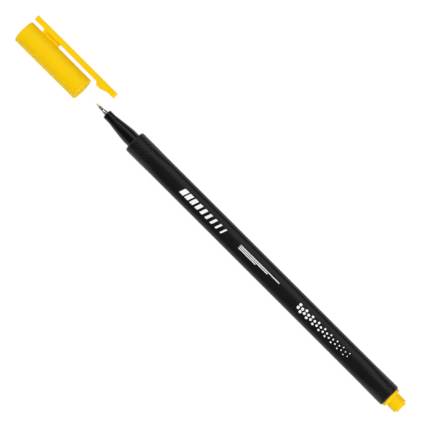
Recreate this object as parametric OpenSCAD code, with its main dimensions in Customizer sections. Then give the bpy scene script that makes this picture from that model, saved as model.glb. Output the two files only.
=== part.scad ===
// Fineliner pen, lying open with its cap in line ahead of the writing tip.
// Millimetres. The origin is the writing point, +X runs to the rear end and +Z is up.
// The barrel is round at both ends and a soft triangle between them.

/* [Barrel] */
// Length of the barrel, from its front face to its rear face
barrel_len = 126.45; // [115:0.05:140]
// Diameter of the round front end
front_d = 8.5; // [8.2:0.02:8.7]
// Diameter of the round rear end
rear_d = 8.62; // [8.3:0.02:8.8]
// Length of the round front end
front_round_len = 8.5; // [7:0.1:11]
// Length over which the front turns from round to triangular
front_blend_len = 8; // [5:0.1:14]
// Length of the round rear end
rear_round_len = 4.5; // [3:0.1:8]
// Length over which the triangular stretch turns round at the rear
rear_blend_len = 9.5; // [5:0.1:14]
// Radius of the soft corners of the triangle
corner_r = 3; // [2.9:0.05:3.1]
// Distance of each corner's centre from the pen's axis
corner_d = 1.36; // [1.25:0.01:1.4]
// Height of the middle of each face over the pen's axis
face_h = 3.93; // [3.88:0.01:3.98]
// Rounding of the barrel's end edges
barrel_edge_r = 0.5; // [0.2:0.05:0.6]
// Diameter of the bore that holds the ink reservoir
bore_d = 6; // [5.7:0.05:6.2]

/* [Nose] */
// Diameter of the slim cylinder at the front of the nose
nose_tip_d = 3.55; // [3.2:0.05:3.7]
// Length of that slim cylinder
nose_tip_len = 2.75; // [2.5:0.05:4]
// Rounding of the front edge of the nose
nose_edge_r = 0.15; // [0.05:0.05:0.3]
// Height of the small step behind the slim cylinder
nose_step = 0.08; // [0.03:0.01:0.15]
// Length of the curved swell behind it
nose_swell_len = 8.3; // [6:0.1:12]
// How quickly the swell flattens out towards the base, 1 for a straight cone
nose_swell_bend = 1.15; // [1:0.05:1.5]
// Diameter of the nose where it meets the barrel
nose_base_d = 5.55; // [5.25:0.05:5.6]
// Length of the straight base of the nose
nose_base_len = 2.6; // [1.5:0.05:4]
// Diameter of the spigot that is pushed into the barrel
nose_spigot_d = 5.1; // [4.6:0.05:5.15]
// Length of that spigot
nose_spigot_len = 8; // [5:0.1:10]

/* [Writing tip] */
// Diameter of the fibre tip
fibre_d = 0.6; // [0.4:0.02:0.6]
// Length of fibre that stands out of the ferrule
fibre_out = 1.25; // [0.6:0.05:1.5]
// Diameter of the ferrule's tube at its front
ferrule_tube_d = 0.94; // [0.84:0.02:1]
// Diameter of the ferrule's tube where it meets the cone
ferrule_neck_d = 1.14; // [1.06:0.02:1.3]
// Length of the ferrule's tube
ferrule_tube_len = 1.9; // [1:0.1:3.5]
// Length of the ferrule's cone
ferrule_cone_len = 2; // [1:0.05:3]
// Diameter of the ferrule's shank and of the cone's wide end
ferrule_shank_d = 1.96; // [1.84:0.02:2.1]
// Length of the shank inside the nose
ferrule_shank_len = 4.2; // [3:0.1:6]

/* [Ink feed] */
// Diameter of the feed wick behind the ferrule
wick_d = 1.7; // [1.4:0.05:1.75]
// Length of wick inside the reservoir
wick_plunge = 4.5; // [3:0.1:8]
// Depth that the fibre is pushed into the wick
fibre_plunge = 1.8; // [1:0.1:3]
// Diameter of the ink reservoir
reservoir_d = 5.2; // [4.8:0.05:5.3]
// Thickness of the film round the reservoir
film_t = 0.1; // [0.05:0.01:0.15]

/* [Rear plug] */
// Diameter of the plug's flange
flange_d = 7.6; // [7.3:0.05:8.2]
// Thickness of that flange
flange_t = 1.05; // [0.8:0.05:2]
// Diameter of the post behind the flange
post_d = 5.8; // [5.6:0.05:6]
// Length of the post
post_len = 4.05; // [3:0.05:6]
// Rounding of the rear edges of the flange and the post
plug_edge_r = 0.32; // [0.1:0.02:0.4]
// Diameter of the low disc on the end of the post
disc_d = 4.3; // [3.5:0.05:4.8]
// Height of that disc
disc_t = 0.55; // [0.4:0.05:1.2]
// Depth of the spigot inside the barrel
plug_spigot_len = 5; // [3:0.1:8]
// Diameter of the hollow inside the plug
plug_core_d = 3.6; // [3:0.1:4.4]
// Thickness of the plug's closed end
plug_end_t = 1.2; // [0.8:0.1:2]

/* [Cap] */
// Length of the cap
cap_len = 29.5; // [27:0.1:34]
// Diameter of the cap at its closed end
cap_top_d = 8.95; // [8.7:0.05:9.2]
// Diameter of the cap at its mouth
cap_mouth_d = 8.78; // [8.7:0.02:9]
// Height of the low bead round the mouth
cap_bead_h = 0.05; // [0.02:0.01:0.15]
// Length of that bead
cap_bead_len = 0.95; // [0.6:0.05:2]
// Inside diameter of the cap
cap_bore_d = 7.3; // [7.1:0.05:7.5]
// Thickness of the closed end
cap_end_t = 1.2; // [0.8:0.05:2]
// Rounding of the cap's end edges
cap_edge_r = 0.38; // [0.2:0.02:0.44]
// Distance from the open cap's mouth to the writing point
cap_off_gap = 7.15; // [4:0.05:12]
// Number of guide ribs inside the mouth
rib_n = 6; // [4:1:8]
// Width of a guide rib
rib_w = 0.6; // [0.4:0.05:0.8]
// Length of a guide rib
rib_len = 8; // [5:0.1:9.5]
// Distance of the guide ribs from the mouth
rib_inset = 1; // [0.5:0.1:1.5]

/* [Inner seal] */
// Wall of the seal tube
seal_wall = 0.72; // [0.5:0.02:0.9]
// Length of the nose that the seal tube grips
seal_grip = 2.3; // [1.5:0.1:2.4]
// Room in the seal tube ahead of the writing point
seal_room = 2; // [1:0.1:3]
// Thickness of the web that closes the seal tube
seal_web_t = 0.8; // [0.5:0.05:1.2]
// Thickness of the flange that seats in the closed end
seal_flange_t = 1.2; // [0.8:0.05:1.8]

/* [Clip] */
// Direction of the clip round the axis, up from the side
clip_roll = 12; // [0:0.1:60]
// Length of the clip's bar, from its tail to its tip
clip_len = 39.5; // [36:0.1:44]
// Width of the bar
clip_w = 3.2; // [2.6:0.05:3.8]
// Thickness of the bar at its tail
clip_t = 2.06; // [1.4:0.02:2.2]
// Thickness of the bar at its tip
clip_tip_t = 2.22; // [1.84:0.02:2.4]
// Gap between the cap and the bar
clip_gap = 1.18; // [1.1:0.02:1.8]
// Chamfer along the bar's outer edges
clip_chamfer = 0.22; // [0.1:0.02:0.4]
// Distance of the bridge from the cap's closed end
bridge_at = 5.05; // [3:0.05:8]
// Length of the bridge that joins bar and cap
bridge_len = 7.6; // [5:0.1:9]
// Width of the bridge's web
bridge_web_w = 1.7; // [1.2:0.05:2.2]
// Length of the wider rib at the bridge's rear
bridge_rib_len = 1.2; // [0.8:0.05:2]
// Width of that rib
bridge_rib_w = 2.9; // [2.4:0.05:3.2]
// Distance of the front of the nub's flat from the clip's tip
nub_at = 6.1; // [5:0.1:9]
// Length of that flat
nub_flat_len = 1.2; // [0.6:0.1:2]
// Length of the nub's steep side, towards the cap
nub_steep_len = 1.2; // [0.6:0.1:2]
// Length of the nub's gentle side, towards the tip
nub_gentle_len = 3.1; // [2:0.1:3.6]

/* [Fits] */
// Radial gap of pushed-in parts
press_gap = 0.02; // [0.01:0.005:0.03]
// Radial gap of the seal tube on the nose
seal_gap = 0.03; // [0.02:0.005:0.05]
// Radial gap of the guide ribs round the post
post_gap = 0.03; // [0.02:0.005:0.06]
// End gap between parts that meet inside the pen
end_gap = 0.1; // [0.05:0.01:0.2]
// Gap between the cap's mouth and the barrel when the pen is closed
seat_gap = 0.1; // [0.05:0.01:0.3]
// Gap between the clip's nub and the round front of the barrel
nub_gap = 0.3; // [0.2:0.02:0.5]
// Parting gap between the clip's arm and its root
flex_gap = 0.02; // [0.01:0.01:0.05]

/* [Hidden] */
$fn = 96;

BLACK = [0.13, 0.13, 0.14];
GLOSS_BLACK = [0.08, 0.08, 0.09];
YELLOW = [0.97, 0.79, 0.07];
PALE_YELLOW = [0.95, 0.85, 0.4];
STEEL = [0.72, 0.72, 0.74];
INK_YELLOW = [0.86, 0.76, 0.25];
FELT = [0.93, 0.88, 0.62];
FILM = [0.85, 0.87, 0.86];

// Stations along the pen, from the writing point at zero
ferrule_cone_x = fibre_out + ferrule_tube_len;
nose_x = ferrule_cone_x + ferrule_cone_len;
swell_x = nose_x + nose_tip_len;
nose_base_x = swell_x + nose_swell_len;
barrel_x = nose_base_x + nose_base_len;
barrel_end_x = barrel_x + barrel_len;
shank_end_x = nose_x + ferrule_shank_len;
wick_x = shank_end_x + end_gap;
fibre_end_x = wick_x + fibre_plunge;
spigot_end_x = barrel_x + nose_spigot_len;
reservoir_x = spigot_end_x + end_gap;
wick_end_x = reservoir_x + wick_plunge;
plug_x = barrel_end_x - plug_spigot_len;
reservoir_end_x = plug_x - end_gap;
post_x = barrel_end_x + flange_t;
disc_x = post_x + post_len;

// Stations of the open cap, and how far it slides to close
cap_mouth_x = -cap_off_gap;
cap_x = cap_mouth_x - cap_len;
cap_travel = barrel_x - seat_gap - cap_mouth_x;
seal_x = cap_x + cap_end_t;
seal_mouth_x = nose_x + seal_grip - cap_travel;
seal_floor_x = -seal_room - cap_travel;

// Bores and radii that follow from their mates
spigot_bore_r = nose_spigot_d / 2 + press_gap;
ferrule_bore_r = fibre_d / 2 + press_gap;
shank_bore_r = ferrule_shank_d / 2 + press_gap;
wick_bore_r = wick_d / 2 + press_gap;
film_r = reservoir_d / 2 + press_gap;
seal_bore_r = nose_tip_d / 2 + seal_gap;
rib_r = max(post_d, nose_base_d) / 2 + post_gap;

// The clip's radii, out from the pen's axis, and its stations
clip_in_r = cap_top_d / 2 + clip_gap;
clip_out_r = clip_in_r + clip_t;
tip_in_r = clip_out_r - clip_tip_t;
nub_r = front_d / 2 + nub_gap;
bridge_x = cap_x + bridge_at;
bridge_end_x = bridge_x + bridge_len;
arm_x = bridge_end_x + flex_gap;
clip_tip_x = cap_x + clip_len;
nub_flat_x = clip_tip_x - nub_at;

// How far a cutter runs past the face that it opens, and a joined part into its neighbour
past = 0.5;
into = 0.3;

// The triangle's faces are arcs that run into the corner arcs without a kink.
// face_back is how far behind the pen's axis such an arc has its centre.
corner_gap = face_h - corner_r;
face_back = (pow(corner_d, 2) - pow(corner_gap, 2)) / (2 * corner_gap - corner_d);
face_r = face_h + face_back;
join_scale = corner_r / (face_r - corner_r);
join_x = corner_d + (corner_d + face_back / 2) * join_scale;
join_y = face_back * sin(60) * join_scale;
join_angle = atan2(join_y, join_x);

// Radius of the triangle's outline at angle a from its nearest corner, a from 0 to 60
function corner_arc(a) = corner_d * cos(a) + sqrt(pow(corner_r, 2) - pow(corner_d * sin(a), 2));
function face_arc(a) = sqrt(pow(face_r, 2) - pow(face_back * sin(60 - a), 2)) - face_back * cos(60 - a);
function triangle_r(a) = a < join_angle ? corner_arc(a) : face_arc(a);
function from_corner(a) = abs((a + 60) % 120 - 60);
function smooth(t) = t * t * (3 - 2 * t);

// Ring of points round the barrel at station x: k runs from 0, round, to 1, triangular
ring_n = 72;
function ring(x, round_r, k) = [
  for (i = [0 : ring_n - 1])
    let (a = i * 360 / ring_n, r = round_r * (1 - k) + triangle_r(from_corner(a)) * k)
      [x, r * cos(a + clip_roll + 30), r * sin(a + clip_roll + 30)]
];

edge_steps = 4;
blend_steps = 8;
front_blend_x = barrel_x + front_round_len;
rear_blend_x = barrel_end_x - rear_round_len - rear_blend_len;
front_edge = [
  for (i = [0 : edge_steps])
    let (a = i * 90 / edge_steps)
      ring(barrel_x + barrel_edge_r * (1 - cos(a)), front_d / 2 - barrel_edge_r * (1 - sin(a)), 0)
];
front_blend = [
  for (i = [0 : blend_steps])
    ring(front_blend_x + front_blend_len * i / blend_steps, front_d / 2, smooth(i / blend_steps))
];
rear_blend = [
  for (i = [0 : blend_steps])
    ring(rear_blend_x + rear_blend_len * i / blend_steps, rear_d / 2, 1 - smooth(i / blend_steps))
];
rear_edge = [
  for (i = [edge_steps : -1 : 0])
    let (a = i * 90 / edge_steps)
      ring(barrel_end_x - barrel_edge_r * (1 - cos(a)), rear_d / 2 - barrel_edge_r * (1 - sin(a)), 0)
];

// Solid skin over rings that all have the same number of points
module skin(rings) {
  n = len(rings[0]);
  last = (len(rings) - 1) * n;
  sides = [
    for (row = [0 : n : last - n])
      for (i = [0 : n - 1])
        for (tri = [[i, (i + 1) % n, i + n], [(i + 1) % n, (i + 1) % n + n, i + n]])
          [row + tri[0], row + tri[1], row + tri[2]]
  ];
  front = [for (i = [n - 1 : -1 : 0]) i];
  rear = [for (i = [0 : n - 1]) last + i];
  polyhedron([for (r = rings) each r], concat(sides, [front, rear]));
}

// Turned solid about the pen's axis, from an outline of [radius, station] points
module turned(outline) {
  rotate([0, 90, 0]) rotate_extrude() polygon(outline);
}

// Round bar along the pen's axis from station a to station b
module rod(a, b, r) {
  translate([a, 0, 0]) rotate([0, 90, 0]) cylinder(h = b - a, r = r);
}

// Rounded corner of an outline as [radius, station] points, centred at [r, x]
function fillet(r, x, size, a0, a1) = [
  for (i = [0 : edge_steps])
    let (a = a0 + (a1 - a0) * i / edge_steps)
      [r + size * cos(a), x + size * sin(a)]
];

// Turns the clip's own frame, where it points up, to the clip's direction
module at_clip() {
  rotate([clip_roll - 90, 0, 0]) children();
}

// Flat profile of [station, height] points, given a width about the clip's middle plane
module sideways(width) {
  rotate([90, 0, 0]) linear_extrude(width, center = true) children();
}

// Long bar under the clip's outer face, with its outer edges chamfered
module clip_section() {
  half = clip_w / 2;
  translate([cap_x - past, 0, 0])
    rotate([90, 0, 90])
      linear_extrude(clip_len + 2 * past)
        polygon([
          [-half, 0], [half, 0], [half, clip_out_r - clip_chamfer],
          [half - clip_chamfer, clip_out_r], [clip_chamfer - half, clip_out_r],
          [-half, clip_out_r - clip_chamfer]
        ]);
}

// Height of the bar's inner face at station x of the arm
function arm_in_r(x) = clip_in_r + (tip_in_r - clip_in_r) * (x - bridge_end_x) / (clip_tip_x - bridge_end_x);

module barrel() {
  color(BLACK)
    difference() {
      skin(concat(front_edge, front_blend, rear_blend, rear_edge));
      rod(barrel_x - past, spigot_end_x + past, spigot_bore_r);
      rod(spigot_end_x, barrel_end_x + past, bore_d / 2);
    }
}

swell_steps = 12;
module nose_section() {
  swell_front_r = nose_tip_d / 2 + nose_step;
  swell = [
    for (i = [0 : swell_steps])
      let (t = i / swell_steps)
        [nose_base_d / 2 - (nose_base_d / 2 - swell_front_r) * pow(1 - t, nose_swell_bend),
         swell_x + nose_swell_len * t]
  ];
  color(GLOSS_BLACK)
    difference() {
      turned(concat(
        [[0, nose_x]],
        fillet(nose_tip_d / 2 - nose_edge_r, nose_x + nose_edge_r, nose_edge_r, -90, 0),
        [[nose_tip_d / 2, swell_x]],
        swell,
        [[nose_base_d / 2, barrel_x], [nose_spigot_d / 2, barrel_x],
         [nose_spigot_d / 2, spigot_end_x], [0, spigot_end_x]]
      ));
      rod(nose_x - past, shank_end_x, shank_bore_r);
      rod(shank_end_x - past, spigot_end_x + past, wick_bore_r);
    }
}

module nib_ferrule() {
  color(STEEL)
    difference() {
      turned([
        [0, fibre_out], [ferrule_tube_d / 2, fibre_out], [ferrule_neck_d / 2, ferrule_cone_x],
        [ferrule_shank_d / 2, nose_x], [ferrule_shank_d / 2, shank_end_x], [0, shank_end_x]
      ]);
      rod(fibre_out - past, shank_end_x + past, ferrule_bore_r);
    }
}

module nib_fibre() {
  color(INK_YELLOW)
    turned([
      [0, 0], [fibre_d / 4, 0], [fibre_d / 2, fibre_d / 3],
      [fibre_d / 2, fibre_end_x], [0, fibre_end_x]
    ]);
}

module feed_wick() {
  color(FELT)
    difference() {
      rod(wick_x, wick_end_x, wick_d / 2);
      rod(wick_x - past, fibre_end_x + end_gap, ferrule_bore_r);
    }
}

module ink_reservoir() {
  color(FELT)
    difference() {
      rod(reservoir_x, reservoir_end_x, reservoir_d / 2);
      rod(reservoir_x - past, wick_end_x + end_gap, wick_bore_r);
    }
}

module reservoir_film() {
  color(FILM)
    difference() {
      rod(reservoir_x, reservoir_end_x, film_r + film_t);
      rod(reservoir_x - past, reservoir_end_x + past, film_r);
    }
}

module rear_plug() {
  spigot_r = bore_d / 2 - press_gap;
  color(YELLOW)
    difference() {
      turned(concat(
        [[0, plug_x], [spigot_r, plug_x], [spigot_r, barrel_end_x], [flange_d / 2, barrel_end_x]],
        fillet(flange_d / 2 - plug_edge_r, post_x - plug_edge_r, plug_edge_r, 0, 90),
        [[post_d / 2, post_x]],
        fillet(post_d / 2 - plug_edge_r, disc_x - plug_edge_r, plug_edge_r, 0, 90),
        [[disc_d / 2, disc_x], [disc_d / 2, disc_x + disc_t], [0, disc_x + disc_t]]
      ));
      rod(plug_x - past, disc_x - plug_end_t, plug_core_d / 2);
    }
}

module cap_tube() {
  bore_r = cap_bore_d / 2;
  mouth_r = cap_mouth_d / 2;
  bead_r = mouth_r + cap_bead_h;
  bead_x = cap_mouth_x - cap_bead_len;
  turned(concat(
    [[0, seal_x], [0, cap_x]],
    fillet(cap_top_d / 2 - cap_edge_r, cap_x + cap_edge_r, cap_edge_r, -90, 0),
    [[mouth_r, bead_x - cap_bead_h]],
    [[bead_r, bead_x]],
    fillet(bead_r - cap_edge_r, cap_mouth_x - cap_edge_r, cap_edge_r, 0, 90),
    [[bore_r, cap_mouth_x], [bore_r, seal_x]]
  ));
}

module guide_ribs() {
  rib_x = cap_mouth_x - rib_inset - rib_len;
  depth = cap_bore_d / 2 + into - rib_r;
  for (i = [0 : rib_n - 1])
    rotate([30 + i * 360 / rib_n, 0, 0])
      translate([rib_x, rib_r, -rib_w / 2])
        cube([rib_len, depth, rib_w]);
}

module clip_root() {
  root_r = (cap_bore_d + min(cap_top_d, cap_mouth_d)) / 4;
  web_h = clip_in_r + into - root_r;
  at_clip() {
    intersection() {
      clip_section();
      sideways(clip_w) translate([cap_x, clip_in_r]) square([bridge_end_x - cap_x, clip_t]);
    }
    sideways(bridge_web_w) translate([bridge_x, root_r]) square([bridge_len, web_h]);
    sideways(bridge_rib_w) translate([bridge_x, root_r]) square([bridge_rib_len, web_h]);
  }
}

module cap_shell() {
  color(YELLOW) {
    union() {
      cap_tube();
      guide_ribs();
      clip_root();
    }
  }
}

module cap_inner_seal() {
  flange_r = cap_bore_d / 2 - press_gap;
  tube_r = seal_bore_r + seal_wall;
  color(PALE_YELLOW)
    difference() {
      turned([
        [0, seal_x], [flange_r, seal_x], [flange_r, seal_x + seal_flange_t],
        [tube_r, seal_x + seal_flange_t], [tube_r, seal_mouth_x], [0, seal_mouth_x]
      ]);
      rod(seal_floor_x, seal_mouth_x + past, seal_bore_r);
      rod(seal_x - past, seal_floor_x - seal_web_t, seal_bore_r);
    }
}

module clip_arm() {
  steep_x = nub_flat_x - nub_flat_len - nub_steep_len;
  gentle_x = nub_flat_x + nub_gentle_len;
  tip_round = [
    for (corner = [[tip_in_r + cap_edge_r, -90], [clip_out_r - cap_edge_r, 0]])
      for (i = [0 : edge_steps])
        let (a = corner[1] + 90 * i / edge_steps)
          [clip_tip_x - cap_edge_r * (1 - cos(a)), corner[0] + cap_edge_r * sin(a)]
  ];
  color(YELLOW)
    at_clip()
      intersection() {
        clip_section();
        sideways(clip_w)
          polygon(concat(
            [[arm_x, clip_out_r], [arm_x, arm_in_r(arm_x)], [steep_x, arm_in_r(steep_x)],
             [nub_flat_x - nub_flat_len, nub_r], [nub_flat_x, nub_r],
             [gentle_x, arm_in_r(gentle_x)]],
            tip_round
          ));
      }
}

barrel();
nose_section();
nib_ferrule();
nib_fibre();
feed_wick();
ink_reservoir();
reservoir_film();
rear_plug();
cap_shell();
cap_inner_seal();
clip_arm();
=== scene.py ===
"""Looks of the fineliner pen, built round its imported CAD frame.

The pen lies open on a white table with its cap in line ahead of the writing tip.
Sizes are in millimetres and become metres where a mesh is made. Stations run along
the pen's axis, +X from the writing point to the rear end, and angles turn round that
axis from +Y towards +Z.
"""

import logging
import math
from collections.abc import Callable, Iterable, Mapping, Sequence
from dataclasses import dataclass
from enum import Enum

import bmesh
import bpy
from mathutils import Matrix, Vector


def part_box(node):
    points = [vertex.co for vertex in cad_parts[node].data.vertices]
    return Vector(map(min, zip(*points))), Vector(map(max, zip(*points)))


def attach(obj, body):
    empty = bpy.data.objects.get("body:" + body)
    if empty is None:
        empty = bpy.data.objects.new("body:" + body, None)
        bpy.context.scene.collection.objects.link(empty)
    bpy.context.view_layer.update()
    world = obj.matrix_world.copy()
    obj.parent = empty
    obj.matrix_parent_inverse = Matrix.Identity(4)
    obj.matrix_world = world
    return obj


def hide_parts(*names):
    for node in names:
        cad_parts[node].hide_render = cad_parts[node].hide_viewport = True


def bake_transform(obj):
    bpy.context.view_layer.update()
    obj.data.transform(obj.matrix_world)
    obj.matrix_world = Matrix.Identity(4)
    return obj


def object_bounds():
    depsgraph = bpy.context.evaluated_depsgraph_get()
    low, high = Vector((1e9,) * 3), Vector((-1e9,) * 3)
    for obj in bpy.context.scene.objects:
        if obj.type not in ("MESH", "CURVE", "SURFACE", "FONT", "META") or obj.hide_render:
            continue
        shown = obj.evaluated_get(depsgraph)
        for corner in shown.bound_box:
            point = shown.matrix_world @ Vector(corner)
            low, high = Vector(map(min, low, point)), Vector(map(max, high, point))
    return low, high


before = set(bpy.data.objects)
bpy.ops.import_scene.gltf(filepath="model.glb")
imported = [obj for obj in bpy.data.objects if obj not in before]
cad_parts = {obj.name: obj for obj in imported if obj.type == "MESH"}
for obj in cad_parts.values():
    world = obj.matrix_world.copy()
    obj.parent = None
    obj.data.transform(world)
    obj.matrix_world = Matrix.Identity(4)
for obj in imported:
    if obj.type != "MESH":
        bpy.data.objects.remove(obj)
CAD_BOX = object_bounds()

LOG = logging.getLogger("fineliner")
MM = 0.001
NEAR = 0.001
WHOLE_TURN = 360.0
THIRD_TURN = 120.0
QUARTER_TURN = 90.0
SIXTH_TURN = 60.0
SOFT_EDGE = 38.0
CLIP_DIRECTION = 12.0
CORNER_DIRECTION = CLIP_DIRECTION + SIXTH_TURN / 2.0
PRINT_DIRECTION = CLIP_DIRECTION + QUARTER_TURN

Outline = list[tuple[float, float]]
Ring = list[Vector]
Color = tuple[float, float, float]
Shape = Callable[[float, float, float], float]
Object = bpy.types.Object
Node = bpy.types.Node
Socket = bpy.types.NodeSocket
Sockets = Mapping[str, Socket]
Tree = bpy.types.NodeTree


class Body(Enum):
    """Moving bodies of the pen, by their names in the frame."""

    BARREL = "barrel"
    CAP = "cap"
    CLIP = "clip"


class Slot(Enum):
    """Material slots of the record that the pieces built here belong to."""

    BARREL = "barrel_plastic"
    NOSE = "nose_plastic"
    FERRULE = "ferrule_steel"
    FIBRE = "inked_fibre"
    PLUG = "plug_plastic"
    CAP = "cap_plastic"
    SEAL = "seal_plastic"


class Layer(Enum):
    """Shared shader effects, by the names of their node groups."""

    GRAIN = "mould_grain"
    PIGMENT = "pigment_flow"
    HANDLING = "handling_marks"
    BUNDLE = "fibre_bundle"


# Shapes


def reach(node: str) -> tuple[float, float]:
    """Stations of a CAD node's two ends.

    Args:
        node: Name of the CAD node.

    Returns:
        Its lowest and highest station.
    """
    low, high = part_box(node)
    return low.x / MM, high.x / MM


def polar(station: float, radius: float, angle: float) -> Vector:
    """Point round the pen's axis, in metres.

    Args:
        station: Place along the axis.
        radius: Distance from the axis.
        angle: Direction round the axis, in degrees.

    Returns:
        The point in the frame.
    """
    turn = math.radians(angle)
    return Vector((station, radius * math.cos(turn), radius * math.sin(turn))) * MM


def clip_point(station: float, height: float, side: float) -> Vector:
    """Point in the clip's own frame, in metres.

    Args:
        station: Place along the axis.
        height: Distance from the axis towards the clip.
        side: Distance to the side of the clip's middle plane.

    Returns:
        The point in the frame.
    """
    turn = math.radians(CLIP_DIRECTION)
    across = height * math.cos(turn) - side * math.sin(turn)
    up = height * math.sin(turn) + side * math.cos(turn)
    return Vector((station, across, up)) * MM


def smooth(share: float) -> float:
    """Ease from 0 to 1 with level ends."""
    return share * share * (3.0 - 2.0 * share)


def steps(start: float, end: float, count: int) -> list[float]:
    """Even steps between two values, both ends included."""
    return [start + (end - start) * i / count for i in range(count + 1)]


def chain(start: float, spans: Iterable[tuple[float, int]]) -> list[float]:
    """Stations of spans in a row, each cut into even steps.

    Args:
        start: Where the first span starts.
        spans: End and number of steps of each span.

    Returns:
        All stations after the start.
    """
    stations = []
    for end, count in spans:
        stations += steps(start, end, count)[1:]
        start = end
    return stations


def arc(
    station: float, radius: float, size: float, start: float, end: float, count: int = 6
) -> Outline:
    """Rounded corner of an outline.

    Args:
        station: Station of the arc's centre.
        radius: Radius of the arc's centre.
        size: Radius of the arc itself.
        start: First direction in degrees, 0 for rearward and 90 for outward.
        end: Last direction in degrees.
        count: Number of steps.

    Returns:
        Points of the arc as (station, radius).
    """
    turns = [math.radians(a) for a in steps(start, end, count)]
    return [(station + size * math.cos(a), radius + size * math.sin(a)) for a in turns]


def rounding(size: float, directions: Iterable[float]) -> Outline:
    """Rounded edge of a solid, as rings that it draws in.

    Args:
        size: Radius of the edge.
        directions: Directions on the edge in degrees, 0 at the face and 90 at the side.

    Returns:
        Pairs of distance from the face and inset from the side.
    """
    turns = [math.radians(a) for a in directions]
    return [(size * (1.0 - math.cos(a)), size * (1.0 - math.sin(a))) for a in turns]


def turned(outline: Outline, around: int, shape: Shape | None = None) -> list[Ring]:
    """Rings of a turned body.

    Args:
        outline: Points as (station, radius), where radius 0 closes an end.
        around: Number of points in a ring.
        shape: Optional change of the radius, from station, radius and angle.

    Returns:
        One ring for each point of the outline.
    """
    rings = []
    for station, radius in outline:
        if radius <= 0.0:
            rings.append([polar(station, 0.0, 0.0)])
            continue
        angles = [WHOLE_TURN * i / around for i in range(around)]
        radii = [shape(station, radius, a) if shape else radius for a in angles]
        rings.append([polar(station, r, a) for r, a in zip(radii, angles)])
    return rings


def add_object(name: str, data: bpy.types.ID) -> Object:
    """Makes an object and puts it in the scene.

    Args:
        name: Its name.
        data: Its mesh, lamp or camera.

    Returns:
        The object.
    """
    made = bpy.data.objects.new(name, data)
    bpy.context.scene.collection.objects.link(made)
    return made


class Draft:
    """A mesh while it is made, in metres."""

    def __init__(self) -> None:
        """Starts an empty mesh."""
        self.bm = bmesh.new()

    def loft(self, rings: Sequence[Ring], looped: bool = False, ends: bool = False) -> None:
        """Skins rings in order, a ring of one point being a pole.

        Args:
            rings: Rings with the same number of points, apart from poles.
            looped: Whether the last ring joins the first.
            ends: Whether the first and last rings are closed by a face.
        """
        made = [[self.bm.verts.new(p) for p in ring] for ring in rings]
        pairs = list(zip(made, made[1:]))
        if looped:
            pairs.append((made[-1], made[0]))
        for a, b in pairs:
            for i in range(max(len(a), len(b))):
                k = i + 1
                corners = [a[i % len(a)], a[k % len(a)], b[k % len(b)], b[i % len(b)]]
                self.bm.faces.new(list(dict.fromkeys(corners)))
        if ends:
            self.bm.faces.new(made[0])
            self.bm.faces.new(made[-1])

    def slab(self, grid: Sequence[Ring], depth: Vector) -> None:
        """Adds a thin closed slab under a grid of points.

        Args:
            grid: Rows of points of the slab's top.
            depth: Offset from the top to the bottom.
        """
        top, bottom = (
            [[self.bm.verts.new(p + offset) for p in row] for row in grid]
            for offset in (Vector(), depth)
        )
        for layer in (top, bottom):
            for row, after in zip(layer, layer[1:]):
                for j in range(len(row) - 1):
                    self.bm.faces.new((row[j], row[j + 1], after[j + 1], after[j]))
        rows, columns = len(grid) - 1, len(grid[0]) - 1
        rim = [(0, j) for j in range(columns)] + [(i, columns) for i in range(rows)]
        rim += [(rows, j) for j in range(columns, 0, -1)] + [(i, 0) for i in range(rows, 0, -1)]
        for (i, j), (k, m) in zip(rim, rim[1:] + rim[:1]):
            self.bm.faces.new((top[i][j], top[k][m], bottom[k][m], bottom[i][j]))

    def piece(self, name: str, finish: "Finish", slot: Slot) -> Object:
        """Turns the draft into an object with its finish.

        Args:
            name: Name of the piece.
            finish: Finish of its surface.
            slot: Slot of the record that the finish belongs to; not used.

        Returns:
            The new object, at the origin.
        """
        bmesh.ops.recalc_face_normals(self.bm, faces=self.bm.faces)
        mesh = bpy.data.meshes.new(name)
        self.bm.to_mesh(mesh)
        self.bm.free()
        mesh.shade_smooth()
        mesh.set_sharp_from_angle(angle=math.radians(SOFT_EDGE))
        made = add_object(name, mesh)
        weighted = made.modifiers.new("even_shading", "WEIGHTED_NORMAL")
        weighted.keep_sharp = True
        weighted.thresh = 0.0
        mesh.materials.append(finish.material())
        LOG.info("%s: %d faces, %s", name, len(mesh.polygons), finish.name)
        return made


# Shaders


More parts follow.
